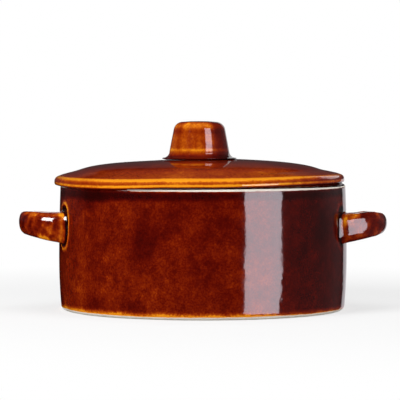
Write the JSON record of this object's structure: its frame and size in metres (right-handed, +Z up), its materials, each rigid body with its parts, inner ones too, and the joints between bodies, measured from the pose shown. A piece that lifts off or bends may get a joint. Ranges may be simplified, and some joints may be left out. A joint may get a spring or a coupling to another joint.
{
  "type": "covered bean pot",
  "caption": "Low round glazed stoneware pot with a strap handle on each side and a loose domed lid with a tapered knob.",
  "frame": {"origin": "centre of the ring that the pot stands on", "axes": "+Z up along the pot's axis, +X through the right handle, the pictured side facing -Y"},
  "size_m": [0.2822, 0.222, 0.144],
  "materials": {
    "treacle_glaze": "gloss amber-brown glaze over pale stoneware"
  },
  "bodies": {
    "pot": {"pot_body": "treacle_glaze", "handle_right": "treacle_glaze", "handle_left": "treacle_glaze"},
    "lid": {"lid": "treacle_glaze", "lid_knob": "treacle_glaze"}
  },
  "joints": [
    {"name": "lid_lift", "type": "slide", "parent": "pot", "child": "lid", "axis": [0, 0, 1], "range_m": [0, 0.09]}
  ]
}
